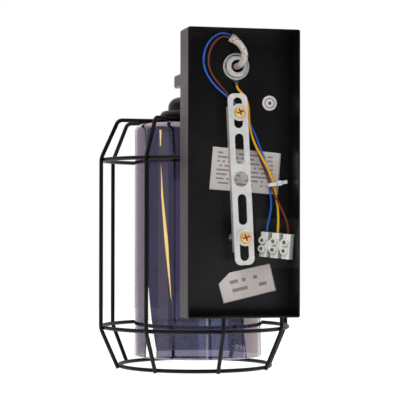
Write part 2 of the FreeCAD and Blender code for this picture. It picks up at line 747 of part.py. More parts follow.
def make_terminal_block():
    """Three moulded poles on a thin web, each with two screw towers."""
    body = None
    for x in pole_offsets():
        pole = rounded_box(pole_width, pole_depth, pole_length, pole_corner, Vector(0, 0, 1))
        pole.translate(Vector(x, pole_depth / 2, 0))
        body = pole if body is None else body.fuse(pole)
    web = Part.makeBox(
        2 * pole_pitch, web_height, web_length,
        Vector(-pole_pitch, (pole_depth - web_height) / 2, -web_length / 2),
    )
    body = body.fuse(web)
    up = Vector(0, 1, 0)
    for x in pole_offsets():
        for z in tower_heights():
            reach = pole_depth / 2 + tower_height
            body = body.fuse(Part.makeCylinder(tower_radius, reach, Vector(x, pole_depth / 2, z), up))
    bore = insert_radius + insert_clearance
    well = clamp_screw_radius + clamp_screw_clearance
    for x in pole_offsets():
        body = body.cut(Part.makeCylinder(bore, pole_length + 2, Vector(x, insert_axis_height, -pole_length / 2 - 1)))
        for z in tower_heights():
            body = body.cut(Part.makeCylinder(well, pole_depth + tower_height, Vector(x, insert_axis_height, z), up))
    return at_block(body.removeSplitter())


def make_terminal_inserts():
    inserts = []
    for x in pole_offsets():
        insert = Part.makeCylinder(insert_radius, insert_length, Vector(x, insert_axis_height, -insert_length / 2))
        insert = insert.cut(
            Part.makeCylinder(insert_bore_radius, insert_length + 2, Vector(x, insert_axis_height, -insert_length / 2 - 1))
        )
        for z in tower_heights():
            hole = clamp_screw_radius + clamp_screw_clearance
            insert = insert.cut(Part.makeCylinder(hole, 2 * insert_radius, Vector(x, insert_axis_height, z), Vector(0, 1, 0)))
        inserts.append(at_block(insert))
    return Part.makeCompound(inserts)


def make_clamp_screw(x, z):
    """The upper screws stand on the wires, and the lower ones are backed out of their bores."""
    if z < 0:
        held_radius = insert_bore_radius
    elif x == 0:
        held_radius = earth_diameter / 2
    else:
        held_radius = conductor_diameter / 2
    start = insert_axis_height + held_radius + clamp_screw_gap
    screw = Part.makeCylinder(clamp_screw_radius, clamp_screw_length, Vector(x, start, z), Vector(0, 1, 0))
    cut = Part.makeBox(
        4 * clamp_screw_radius, driver_slot_depth, driver_slot_width,
        Vector(x - 2 * clamp_screw_radius, start + clamp_screw_length - driver_slot_depth, z - driver_slot_width / 2),
    )
    return at_block(screw.cut(cut))


def make_insulating_sheet():
    """A thin sheet on the plate that folds up the side wall and past the rim."""
    inner_wall_x = -box_width / 2 + box_sheet
    height = sheet_top_z - sheet_bottom_z
    flat = Part.makeBox(
        sheet_left_x - inner_wall_x, sheet_thickness, height, Vector(inner_wall_x, plate_inner_y, sheet_bottom_z)
    )
    upright = Part.makeBox(
        sheet_thickness, sheet_past_rim - plate_inner_y, height, Vector(inner_wall_x, plate_inner_y, sheet_bottom_z)
    )
    return flat.fuse(upright).removeSplitter()


# Wires

def entry_point(pole, depth):
    """A place on a pole's wire axis, the given depth below its upper end."""
    local = Vector(pole * pole_pitch, insert_axis_height, pole_length / 2 - depth)
    return tuple(block_placement().multVec(local))


def sleeve_end():
    """The middle of the sleeve's cut end, and the direction that it points in."""
    first, second = Vector(*sleeve_route[0]), Vector(*sleeve_route[1])
    return first, (first - second).normalize()


def conductor_route(route, side, pole):
    end, out = sleeve_end()
    across = out.cross(Vector(0, 1, 0)).normalize()
    start = end + across * (side * conductor_spacing)
    return [tuple(start), tuple(start + out * 3.0)] + route + [entry_point(pole, -4.0), entry_point(pole, wire_insertion)]


def make_wires():
    crimp = (0, plate_inner_y + earth_lug_tail_width / 2, arm_centre_z - earth_lug_tail - 0.6)
    crimp_mouth = (crimp[0], crimp[1], crimp[2] - 3.2)
    earth = [crimp, crimp_mouth] + earth_route + [entry_point(0, -4.0), entry_point(0, wire_insertion)]
    return {
        "heat_sleeve": cord_tube("heat_sleeve", sleeve_route, sleeve_diameter),
        "wire_blue": cord_tube("wire_blue", conductor_route(blue_route, 1, 1), conductor_diameter),
        "wire_brown": cord_tube("wire_brown", conductor_route(brown_route, -1, -1), conductor_diameter),
        "wire_earth": cord_tube("wire_earth", earth, earth_diameter),
    }


def make_cable_tie():
    """A closed band round the wires, with its square head and the cut tail."""
    axis = Vector(0, 0, 1)
    outer_x = tie_inner_x + 2 * tie_band_thickness
    outer_y = tie_inner_y + 2 * tie_band_thickness
    band = rounded_box(outer_x, outer_y, tie_band_height, outer_x * 0.3, axis)
    band = band.cut(rounded_box(tie_inner_x, tie_inner_y, tie_band_height + 1, tie_inner_x * 0.3, axis))
    head = Part.makeBox(tie_head, tie_head, tie_head, Vector(-outer_x / 2 - tie_head + 0.4, -tie_head / 2, -tie_head / 2))
    tail = Part.makeBox(
        tie_tail_length, tie_band_thickness, tie_band_height,
        Vector(-outer_x / 2 - tie_head - tie_tail_length + 0.8, -tie_band_thickness / 2, -tie_band_height / 2),
    )
    tie = band.fuse(head).fuse(tail).removeSplitter()
    tie.rotate(Vector(0, 0, 0), Vector(0, 1, 0), tie_tilt_deg)
    tie.translate(tie_centre)
    return tie


def main():
    os.makedirs("parts", exist_ok=True)
    export("wall_box", make_wall_box())
    export("arm_socket", make_arm_socket())
    export("arm_tube", make_arm_tube())
    export("box_nipple", make_box_nipple())
    for name, shape in zip(("earth_lug", "nipple_washer", "nipple_nut"), make_nipple_stack()):
        export(name, shape)
    export("mounting_strap", make_strap())
    names = ("strap_screws", "strap_washers", "strap_lock_nuts", "cap_nuts")
    for name, shape in zip(names, make_strap_hardware()):
        export(name, shape)
    export("arm_nut", make_arm_nut())
    export("holder_nipple", make_holder_nipple())
    export("holder_spacer", make_holder_spacer())
    export("lampholder_cap", make_cap())
    export("upper_clamp_ring", make_upper_ring())
    export("lampholder_skirt", make_skirt())
    export("contact_block", make_contact_block())
    export("screw_shell", make_screw_shell())
    export("centre_contact", make_centre_contact())
    export("shade_ring", make_shade_ring())
    export("glass_shade", make_glass())
    export("glass_gasket", make_gasket())
    export("cage_hub", make_cage_hub())
    export("cage_upper_hoop", hoop(hoop_radius, upper_ring_z))
    export("cage_lower_hoop", hoop(hoop_radius, lower_ring_z))
    export("cage_bottom_ring", hoop(foot_ring_radius, bottom_ring_z))
    for i in range(cage_wires):
        export("cage_rib_" + str(i + 1), make_cage_rib(cage_first_wire_deg + 360 / cage_wires * i))
    export("terminal_block", make_terminal_block())
    export("terminal_inserts", make_terminal_inserts())
    places = [(x, z) for x in pole_offsets() for z in tower_heights()]
    for i, (x, z) in enumerate(places):
        export("clamp_screw_" + str(i + 1), make_clamp_screw(x, z))
    export("insulating_sheet", make_insulating_sheet())
    for name, shape in make_wires().items():
        export(name, shape)
    export("cable_tie", make_cable_tie())


main()
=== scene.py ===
import json
import math
import random

import bpy
from mathutils import Matrix, Vector

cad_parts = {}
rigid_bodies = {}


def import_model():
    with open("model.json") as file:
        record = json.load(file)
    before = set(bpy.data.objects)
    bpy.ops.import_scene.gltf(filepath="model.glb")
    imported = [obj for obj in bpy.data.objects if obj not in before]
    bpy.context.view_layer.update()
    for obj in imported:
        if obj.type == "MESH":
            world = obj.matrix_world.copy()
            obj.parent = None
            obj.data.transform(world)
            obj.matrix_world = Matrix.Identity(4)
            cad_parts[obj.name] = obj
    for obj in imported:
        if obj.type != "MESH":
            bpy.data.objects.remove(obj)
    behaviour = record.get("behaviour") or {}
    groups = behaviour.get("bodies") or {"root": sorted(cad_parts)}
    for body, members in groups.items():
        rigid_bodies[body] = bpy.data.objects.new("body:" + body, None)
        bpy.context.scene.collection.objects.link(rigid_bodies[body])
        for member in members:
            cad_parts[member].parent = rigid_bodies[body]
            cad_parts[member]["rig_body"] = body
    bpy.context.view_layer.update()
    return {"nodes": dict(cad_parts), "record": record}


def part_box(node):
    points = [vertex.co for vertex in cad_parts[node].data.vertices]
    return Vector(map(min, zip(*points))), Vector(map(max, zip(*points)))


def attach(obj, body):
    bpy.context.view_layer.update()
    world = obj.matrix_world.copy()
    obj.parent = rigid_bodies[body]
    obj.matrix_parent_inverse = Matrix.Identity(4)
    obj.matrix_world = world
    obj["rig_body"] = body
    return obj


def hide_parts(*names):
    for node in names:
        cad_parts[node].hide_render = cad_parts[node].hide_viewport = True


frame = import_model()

nodes = frame["nodes"]
slots = {row["node"]: row["material_slot"] for row in frame["record"]["subparts"]}
MM = 0.001
FULL_TURN = 2 * math.pi
WHITE = (1, 1, 1, 1)

# Camera: behind the light and a little toward +X, level with the shade
PICTURE_WIDTH = 400
SENSOR_WIDTH = 36.0
FOCAL_PIXELS = 1587.6
CAMERA_PLACE = Vector((0.2866, 1.0548, -0.0342))
CAMERA_YAW = math.radians(13.597)
CAMERA_PITCH = math.radians(-0.811)
CAMERA_ROLL = math.radians(0.085)
CAMERA_REACH = 20.0

# Routes of the sleeve and the wires, as control points in millimetres
SLEEVE_ROUTE = [
    (7.4, -10.0, 94.6), (3.4, -9.6, 92.2), (0.0, -9.2, 88.8), (-2.3, -9.0, 84.6), (-2.8, -9.6, 80.2),
    (-1.4, -12.2, 76.4), (0.0, -17.4, 75.4), (0.2, -24.0, 75.3), (0.0, -36.0, 75.5),
    (-0.3, -58.0, 75.2), (0.2, -88.0, 75.6), (-0.6, -114.0, 76.4), (-1.2, -131.0, 76.9),
    (-1.2, -141.0, 76.9), (-1.2, -141.0, 66.0), (-1.0, -141.1, 57.0), (-1.2, -141.0, 47.0),
    (-1.2, -141.0, 38.0),
]
BLUE_ROUTE = [
    (6.83, -10.0, 95.54), (9.4, -10.26, 97.08), (13.6, -11.0, 97.6), (18.0, -12.0, 95.8),
    (21.8, -13.2, 92.0), (24.3, -14.6, 87.0), (25.4, -15.8, 81.2), (25.0, -16.8, 75.4),
    (22.9, -17.5, 69.8), (19.3, -18.0, 64.4), (14.4, -18.3, 59.2), (8.2, -18.3, 54.4),
    (1.6, -18.8, 49.0), (-4.4, -20.2, 42.6), (-9.6, -20.9, 35.6), (-13.6, -20.6, 27.0),
    (-16.7, -20.0, 18.6), (-19.4, -19.6, 11.0), (-21.0, -19.2, 4.4), (-22.1, -18.9, -2.2),
    (-23.4, -18.8, -9.0), (-24.4, -18.8, -16.0), (-24.8, -18.8, -23.0), (-23.6, -18.9, -30.0),
    (-21.42, -17.97, -36.81), (-20.7, -18.6, -47.77),
]
BROWN_ROUTE = [
    (7.97, -10.0, 93.66), (10.53, -10.26, 95.19), (13.8, -10.9, 95.0), (17.4, -12.0, 92.4),
    (20.2, -13.2, 88.2), (21.7, -14.6, 83.2), (21.9, -16.0, 77.8), (20.6, -17.2, 72.6),
    (17.4, -18.2, 67.2), (13.0, -19.4, 62.2), (7.6, -20.6, 57.0), (2.2, -21.4, 50.4),
    (-3.4, -22.2, 42.4), (-8.6, -22.2, 33.4), (-12.4, -21.4, 24.4), (-15.4, -20.4, 15.6),
    (-18.0, -19.0, 7.2), (-20.5, -17.3, 0.0), (-23.0, -16.1, -7.4), (-25.6, -14.4, -14.8),
    (-28.9, -12.4, -21.8), (-31.8, -10.4, -28.8), (-34.2, -6.86, -38.29), (-33.48, -7.49, -49.25),
]
EARTH_ROUTE = [
    (0.0, -22.2, 64.2), (0.0, -22.2, 61.0), (-2.2, -21.5, 58.0), (-5.0, -20.3, 54.8),
    (-6.9, -18.8, 50.6), (-7.6, -17.4, 45.4), (-7.5, -16.8, 39.4), (-8.0, -16.6, 32.4),
    (-10.0, -16.4, 25.0), (-13.1, -16.1, 17.8), (-16.9, -15.8, 11.2), (-20.6, -15.6, 4.6),
    (-23.8, -15.9, -2.0), (-26.1, -16.4, -8.6), (-27.4, -16.9, -15.6), (-28.6, -16.6, -22.6),
    (-28.8, -15.5, -29.6), (-27.81, -12.41, -37.55), (-27.09, -13.04, -48.51),
]

# Diameters of the sleeve and the wires, in metres
SLEEVE_DIAMETER = 4.6 * MM
CONDUCTOR_DIAMETER = 1.5 * MM
EARTH_DIAMETER = 2.0 * MM

# Curves and tubes
STEPS_PER_POINT = 10
SLEEVE_SIDES = 28
WIRE_SIDES = 16

# Soft form of the sleeve: how far its cut end opens, and the creases in its first bends. Rates are in radians
# for each metre.
FLARE = 0.42
FLARE_LENGTH = 4.5 * MM
FLARE_FLATNESS = 1.5
CREASE = 0.035
CREASE_RATE = 1500
CREASE_TURN = 0.7
CREASE_CENTRE = 16.0 * MM
CREASE_REACH = 12.0 * MM

# Slight unevenness of a wire's covering
WIRE_UNEVENNESS = 0.012
WIRE_WAVE_RATE = 900

# Braid of the sleeve
BRAID_STRANDS = 16.0
BRAID_LAY = 12.0 * MM
TRACER_HALF_WIDTH = 0.035
TRACER_DASH = 1.6 * MM
TRACER_GAP_SHARE = 0.45

# Paper labels on the back box's plate: corners as X and Z in millimetres, clockwise from the upper left
# as the camera sees them
PLATE_Y = -24.0 * MM
RATING_LABEL = [(16.4, 19.1), (-33.2, 14.8), (-30.9, -14.6), (19.1, -10.9)]
INSPECTION_LABEL = [(13.9, -71.4), (-25.0, -63.1), (-29.6, -82.2), (8.6, -91.0)]
INSPECTION_CUT = (0.24, 0.3)
RATING_LIFT = 0.12 * MM
INSPECTION_LIFT = 0.42 * MM
PAPER_THICKNESS = 0.1 * MM
PAPER_WAVE = 0.1 * MM
LABEL_COLUMNS = 36
LABEL_ROWS = 24

# Round label: its centre as X and Z in millimetres, with a ring and a dot
ROUND_LABEL_CENTRE = (-24.8, 50.2)
ROUND_LABEL_RADIUS = 5.35 * MM
ROUND_LABEL_LIFT = 0.25 * MM
ROUND_LABEL_MIDDLE_LIFT = 0.3 * MM
ROUND_LABEL_RINGS = 6
ROUND_LABEL_SIDES = 48
PRINTED_RING_RADIUS = 3.4 * MM
PRINTED_RING_HALF_WIDTH = 0.35 * MM
PRINTED_DOT_RADIUS = 1.2 * MM

# Strap screws, as X and Z in millimetres, with the bounds of their recesses, which the yellow zinc darkens
# with painted shade
STRAP_SCREWS = [(2.16, 42.08), (-2.07, -44.51)]
SCREW_RECESS_Y = -2.95 * MM
SCREW_RECESS_DEPTH = 1.4 * MM
SCREW_RECESS_RADIUS = 2.75 * MM

# Nipple through the plate, with painted shade over brass colour inside it, and the ring stamped in the washer
# round it, which takes painted shade
NIPPLE_Z = 75.4 * MM
NIPPLE_INSIDE_RADIUS = 4.6 * MM
STAMPED_RING_RADIUS = 7.9 * MM
STAMPED_RING_HALF_WIDTH = 0.55 * MM

# Lampholder's threaded skirt. Across one pitch the thread's height, held between 0 and 1, is its crest less
# its flank times the share of a pitch from the middle.
THREAD_PITCH = 2.5 * MM
THREAD_DEPTH = 1.0 * MM
THREAD_RUN_OUT = 1.6 * MM
THREAD_CREST = 1.35
THREAD_FLANK = 4.2
SKIRT_WALL = 4.2 * MM
SKIRT_SIDES = 96
ROWS_PER_PITCH = 8

# Glass shade
GLASS_WALL = 2.2 * MM
GLASS_SHOULDER = 6.0 * MM
GLASS_HOLE_RADIUS = 21.4 * MM
GLASS_ARRIS = 0.3 * MM
GLASS_ARC_STEPS = 10
GLASS_SIDES = 160

# Stage, in metres
FLOOR_Z = -0.42
FLOOR_SIZE = 12
FLOOR_GLOW = 0.6
AMBIENT = 0.6
LAMPS_AIM = Vector((0, -0.05, 0))


# Small helpers

def srgb(red, green, blue):
    """A colour as it shows on screen, from 0 to 255, made linear."""
    out = []
    for value in (red, green, blue):
        c = value / 255
        out.append(c / 12.92 if c <= 0.04045 else ((c + 0.055) / 1.055) ** 2.4)
    return (*out, 1.0)


def link_object(name, data):
    made = bpy.data.objects.new(name, data)
    bpy.context.scene.collection.objects.link(made)
    return made


def mesh_object(name, points, faces, smooth=True, uvs=None):
    """uvs holds one pair for each point of each face, in the faces' order."""
    mesh = bpy.data.meshes.new(name)
    mesh.from_pydata([tuple(p) for p in points], [], faces)
    if uvs:
        layer = mesh.uv_layers.new(name="UVMap")
        for loop, uv in zip(layer.data, uvs):
            loop.uv = uv
    mesh.polygons.foreach_set("use_smooth", [smooth] * len(mesh.polygons))
    mesh.validate()
    return link_object(name, mesh)


def paint(made, material):
    made.data.materials.clear()
    made.data.materials.append(material)
    return made


def grid_faces(rows, columns, round_columns=False, round_rows=False):
    """Quads between neighbours in a grid of points, row after row.

    Round columns join the last column to the first, and round rows the last row to the first.
    """
    faces = []
    for i in range(rows if round_rows else rows - 1):
        row = i * columns
        next_row = (i + 1) % rows * columns
        for j in range(columns if round_columns else columns - 1):
            k = (j + 1) % columns
            faces.append((row + j, row + k, next_row + k, next_row + j))
    return faces


def turned_point(axis, radius, turn, z):
    """A point at a radius and a height round a vertical axis. Its turn runs from 0 to 1."""
    angle = FULL_TURN * turn
    return (axis.x + radius * math.cos(angle), axis.y + radius * math.sin(angle), z)


# Materials

class Nodes:
    """A material's node tree, with short calls for the nodes that the finishes share."""

    def __init__(self, name):
        self.material = bpy.data.materials.new(name)
        self.material.use_nodes = True
        self.tree = self.material.node_tree
        self.shader = self.tree.nodes["Principled BSDF"]
        self.place = self.tree.nodes.new("ShaderNodeTexCoord")

    def new(self, kind, **settings):
        made = self.tree.nodes.new(kind)
        for key, value in settings.items():
            setattr(made, key, value)
        return made

    def link(self, source, target):
        self.tree.links.new(source, target)

    def set(self, **values):
        for key, value in values.items():
            self.shader.inputs[key.replace("_", " ")].default_value = value

    def fill(self, socket, value):
        """Gives a socket a constant, or a link from another socket."""
        if isinstance(value, (int, float, tuple)):
            socket.default_value = value
        else:
            self.link(value, socket)

    def split(self, source="Object"):
        """The X, Y and Z of a coordinate."""
        made = self.new("ShaderNodeSeparateXYZ")
        self.link(self.place.outputs[source], made.inputs["Vector"])
        return made.outputs["X"], made.outputs["Y"], made.outputs["Z"]

    def stretched(self, scale):
        mapping = self.new("ShaderNodeMapping")
        mapping.inputs["Scale"].default_value = scale
        self.link(self.place.outputs["Object"], mapping.inputs["Vector"])
        return mapping.outputs["Vector"]

    def noise(self, scale, detail=3.0, vector=None):
        made = self.new("ShaderNodeTexNoise")
        made.inputs["Scale"].default_value = scale
        made.inputs["Detail"].default_value = detail
        made.inputs["Roughness"].default_value = 0.55
        self.link(vector or self.place.outputs["Object"], made.inputs["Vector"])
        return made.outputs["Fac"]

    def math(self, operation, *values):
        made = self.new("ShaderNodeMath", operation=operation)
        for socket, value in zip(made.inputs, values):
            self.fill(socket, value)
        return made.outputs["Value"]

    def near(self, value, centre, reach):
        """1 within reach of the centre, and 0 elsewhere."""
        return self.math("LESS_THAN", self.math("ABSOLUTE", self.math("SUBTRACT", value, centre)), reach)

    def between(self, value, low, high):
        """1 between the two bounds, and 0 elsewhere."""
        above = self.math("GREATER_THAN", value, low)
        return self.math("MULTIPLY", above, self.math("LESS_THAN", value, high))

    def from_axis(self, x, z):
        """The distance from a line along Y through the given X and Z."""
        place_x, _, place_z = self.split()
        across = self.math("SUBTRACT", place_x, x)
        upward = self.math("SUBTRACT", place_z, z)
        across_squared = self.math("MULTIPLY", across, across)
        upward_squared = self.math("MULTIPLY", upward, upward)
        return self.math("SQRT", self.math("ADD", across_squared, upward_squared))

    def ramp(self, factor, *stops):
        made = self.new("ShaderNodeValToRGB")
        while len(made.color_ramp.elements) < len(stops):
            made.color_ramp.elements.new(0.5)
        for element, (position, colour) in zip(made.color_ramp.elements, stops):
            element.position = position
            element.color = colour
        self.link(factor, made.inputs["Fac"])
        return made.outputs["Color"]

    def span(self, factor, low, high, from_low=0.3, from_high=0.7):
        made = self.new("ShaderNodeMapRange")
        made.inputs["From Min"].default_value = from_low
        made.inputs["From Max"].default_value = from_high
        made.inputs["To Min"].default_value = low
        made.inputs["To Max"].default_value = high
        self.link(factor, made.inputs["Value"])
        return made.outputs["Result"]

    def mix(self, factor, first, second):
        """Mixes two colours, each a socket or a linear colour."""
        made = self.new("ShaderNodeMix", data_type="RGBA")
        self.fill(made.inputs["Factor"], factor)
        self.fill(made.inputs[6], first)
        self.fill(made.inputs[7], second)
        return made.outputs[2]

    def colour(self, socket):
        self.link(socket, self.shader.inputs["Base Color"])

    def roughness(self, socket):
        self.link(socket, self.shader.inputs["Roughness"])

    def bump(self, height, distance):
        made = self.new("ShaderNodeBump")
        made.inputs["Strength"].default_value = 1.0
        made.inputs["Distance"].default_value = distance
        self.link(height, made.inputs["Height"])
        self.link(made.outputs["Normal"], self.shader.inputs["Normal"])


def powder_coat(name, dark, light, gloss_low, gloss_high, shine=0.5):
    """Satin powder coat: fine orange peel, faint dust and uneven gloss."""
    n = Nodes(name)
    n.set(Specular_IOR_Level=shine)
    n.colour(n.ramp(n.noise(60.0, 5.0), (0.35, dark), (0.75, light)))
    n.roughness(n.span(n.noise(25.0), gloss_low, gloss_high))
    n.bump(n.noise(1400.0, 2.0), 0.00006)
    return n.material


def plated_steel(name, dark, light, gloss_low, gloss_high, metal=1.0):
    """Plating. A dull one scatters most of its light, as zinc's fine crystals do."""
    n = Nodes(name)
    n.set(Metallic=metal)
    n.colour(n.ramp(n.noise(180.0, 5.0), (0.3, dark), (0.72, light)))
    streaks = n.stretched((30.0, 30.0, 400.0))
    n.roughness(n.span(n.noise(6.0, 4.0, streaks), gloss_low, gloss_high))
    n.bump(n.noise(900.0, 3.0), 0.00003)
    return n.material


def bright_zinc():
    """Bright zinc, with painted shade in the ring stamped in the nipple's washer, and brass colour darkened
    with painted shade inside the nipple.
    """
    n = Nodes("zinc")
    n.set(Metallic=0.32)
    radius = n.from_axis(0.0, NIPPLE_Z)
    ring = n.near(radius, STAMPED_RING_RADIUS, STAMPED_RING_HALF_WIDTH)
    # Painted shade: a dark band, broken by noise, where the washer's stamped ring lies
    painted_ring_shade = n.math("MULTIPLY", ring, n.span(n.noise(160.0, 2.0), 0.2, 1.0))
    plating = n.ramp(n.noise(180.0, 5.0), (0.3, srgb(222, 223, 218)), (0.72, srgb(246, 246, 242)))
    plating = n.mix(painted_ring_shade, plating, srgb(92, 96, 94))
    # Painted shade: brass colour darkened to dark brown inside the nipple's bore
    bore_brass_in_shade = n.math("LESS_THAN", radius, NIPPLE_INSIDE_RADIUS)
    n.colour(n.mix(bore_brass_in_shade, plating, srgb(96, 66, 52)))
    n.roughness(n.span(n.noise(6.0, 4.0, n.stretched((90.0, 90.0, 90.0))), 0.16, 0.28))
    n.bump(n.noise(900.0, 3.0), 0.00003)
    return n.material


def passivated_zinc():
    """Yellow chromate over zinc, with its pink and green tints, and painted shade in the strap screws'
    recesses.
    """
    n = Nodes("yellow_zinc")
    n.set(Metallic=0.4)
    plating = n.ramp(
        n.noise(330.0, 2.0), (0.3, srgb(196, 204, 120)), (0.44, srgb(244, 206, 120)),
        (0.56, srgb(246, 178, 126)), (0.7, srgb(236, 134, 130)),
    )
    near_axis = [
        n.math("LESS_THAN", n.from_axis(x * MM, z * MM), SCREW_RECESS_RADIUS) for x, z in STRAP_SCREWS
    ]
    height = n.split()[1]
    in_recess = n.between(height, SCREW_RECESS_Y - SCREW_RECESS_DEPTH, SCREW_RECESS_Y)
    # Painted shade: dark brown over the plating inside the strap screws' recesses
    recess_painted_shade = n.math("MULTIPLY", n.math("MAXIMUM", *near_axis), in_recess)
    n.colour(n.mix(recess_painted_shade, plating, srgb(70, 40, 30)))
    n.roughness(n.span(n.noise(300.0), 0.25, 0.42))
    n.bump(n.noise(1500.0), 0.00003)
    return n.material


def smoked_glass():
    """Smoke grey glass with a thin mirror coat."""
    n = Nodes("smoked_glass")
    n.set(Transmission_Weight=1.0, IOR=1.5, Coat_Weight=1.0, Coat_IOR=2.5, Coat_Roughness=0.0)
    n.colour(n.ramp(n.noise(18.0, 2.0), (0.3, (0.19, 0.19, 0.27, 1)), (0.7, (0.21, 0.21, 0.285, 1))))
    n.roughness(n.span(n.noise(40.0), 0.0, 0.012))
    n.bump(n.noise(28.0, 1.0, n.stretched((1.0, 1.0, 0.15))), 0.0002)
    return n.material


def moulded(name, dark, light, gloss_low, gloss_high, shine=0.5):
    """Moulded plastic or rubber, with a fine grain."""
    n = Nodes(name)
    n.set(Specular_IOR_Level=shine)
    n.colour(n.ramp(n.noise(90.0, 4.0), (0.3, dark), (0.7, light)))
    n.roughness(n.span(n.noise(70.0), gloss_low, gloss_high))
    n.bump(n.noise(2200.0, 2.0), 0.00003)
    return n.material


def nylon():
    """Natural nylon, which lets a little light in."""
    n = Nodes("white_plastic")
    n.set(Subsurface_Weight=0.35, Subsurface_Radius=(0.004, 0.0038, 0.0032), Subsurface_Scale=1.0)
    n.colour(n.ramp(n.noise(120.0, 3.0), (0.3, srgb(222, 222, 214)), (0.7, srgb(238, 238, 232))))
    n.roughness(n.span(n.noise(90.0), 0.3, 0.45))
    n.bump(n.noise(800.0), 0.00004)
    return n.material


def insulation(name, dark, light, stripe=None):
    """A wire's covering.

    stripe holds two bounds of the turn round the wire and the colour between them. It wanders a little.
    """
    n = Nodes(name)
    base = n.ramp(n.noise(150.0, 3.0), (0.3, dark), (0.7, light))
    if stripe:
        low, high, colour = stripe
        u = n.split("UV")[0]
        wander = n.math("MULTIPLY_ADD", n.noise(30.0), 0.08, 0.21)
        around = n.math("FRACT", n.math("ADD", u, wander))
        base = n.mix(n.between(around, low, high), base, colour)
    n.colour(base)
    n.roughness(n.span(n.noise(200.0), 0.28, 0.45))
    n.bump(n.noise(1200.0), 0.00003)
    return n.material


def braid():
    """Glass fibre braid: crossing strands, with red tracers spiralling both ways in short dashes."""
    n = Nodes("sleeve_fabric")
    around, along, _ = n.split("UV")
    turned = n.math("MULTIPLY", along, 1 / BRAID_LAY)
    dashes = n.math("FRACT", n.math("MULTIPLY", along, 1 / TRACER_DASH))
    dash = n.math("GREATER_THAN", dashes, TRACER_GAP_SHARE)
    strands = []
    tracers = []
    for sign in (1.0, -1.0):
        phase = n.math("ADD", around, n.math("MULTIPLY", turned, sign))
        strands.append(n.math("SINE", n.math("MULTIPLY", phase, BRAID_STRANDS * FULL_TURN)))
        turn = n.math("FRACT", n.math("ADD", phase, 0.1 + 0.3 * sign))
        tracers.append(n.math("MULTIPLY", n.near(turn, 0.5, TRACER_HALF_WIDTH), dash))
    weave = n.math("MAXIMUM", *strands)
    red = n.math("MINIMUM", n.math("ADD", *tracers), 1.0)
    cloth = n.ramp(n.noise(260.0, 4.0), (0.3, srgb(206, 200, 192)), (0.7, srgb(232, 228, 222)))
    n.colour(n.mix(red, cloth, srgb(196, 46, 50)))
    n.roughness(n.span(weave, 0.5, 0.75, -1.0, 1.0))
    n.bump(weave, 0.00012)
    return n.material


def paper(name, rows, words, across, upward):
    """Matt label paper with rows of short bars, in place of print.

    The bars lie where the map's U and V are within across and upward, and about a third of them are left out.
    """
    n = Nodes(name)
    u, v, _ = n.split("UV")
    low, high = upward
    row = n.math("MULTIPLY", n.math("DIVIDE", n.math("SUBTRACT", v, low), high - low), rows)
    cell = n.new("ShaderNodeCombineXYZ")
    n.link(n.math("FLOOR", n.math("MULTIPLY", u, words)), cell.inputs["X"])
    n.link(n.math("FLOOR", row), cell.inputs["Y"])
    chance = n.new("ShaderNodeTexWhiteNoise", noise_dimensions="2D")
    n.link(cell.outputs["Vector"], chance.inputs["Vector"])
    ink = n.math("GREATER_THAN", chance.outputs["Value"], 0.35)
    for part in (n.between(n.math("FRACT", row), 0.32, 0.72), n.between(u, *across), n.between(v, *upward)):
        ink = n.math("MULTIPLY", ink, part)
    sheet = n.ramp(n.noise(45.0, 4.0), (0.3, srgb(206, 198, 194)), (0.7, srgb(222, 214, 210)))
    n.colour(n.mix(ink, sheet, srgb(142, 136, 134)))
    n.set(Roughness=0.55)
    n.bump(n.noise(120.0, 5.0), 0.0001)
    return n.material


def round_paper(centre):
    """Label paper with a printed ring and a dot round its centre."""
    n = Nodes("round_paper")
    offset = n.new("ShaderNodeVectorMath", operation="DISTANCE")
    n.link(n.place.outputs["Object"], offset.inputs[0])
    offset.inputs[1].default_value = centre
    from_centre = offset.outputs["Value"]
    sheet = n.ramp(n.noise(60.0, 3.0), (0.3, srgb(222, 216, 214)), (0.7, srgb(236, 230, 228)))
    ring = n.near(from_centre, PRINTED_RING_RADIUS, PRINTED_RING_HALF_WIDTH)
    dot = n.math("LESS_THAN", from_centre, PRINTED_DOT_RADIUS)
    n.colour(n.mix(n.math("MAXIMUM", ring, dot), sheet, srgb(120, 118, 120)))
    n.set(Roughness=0.5)
    return n.material


EARTH_STRIPE = (0.12, 0.36, srgb(22, 118, 70))

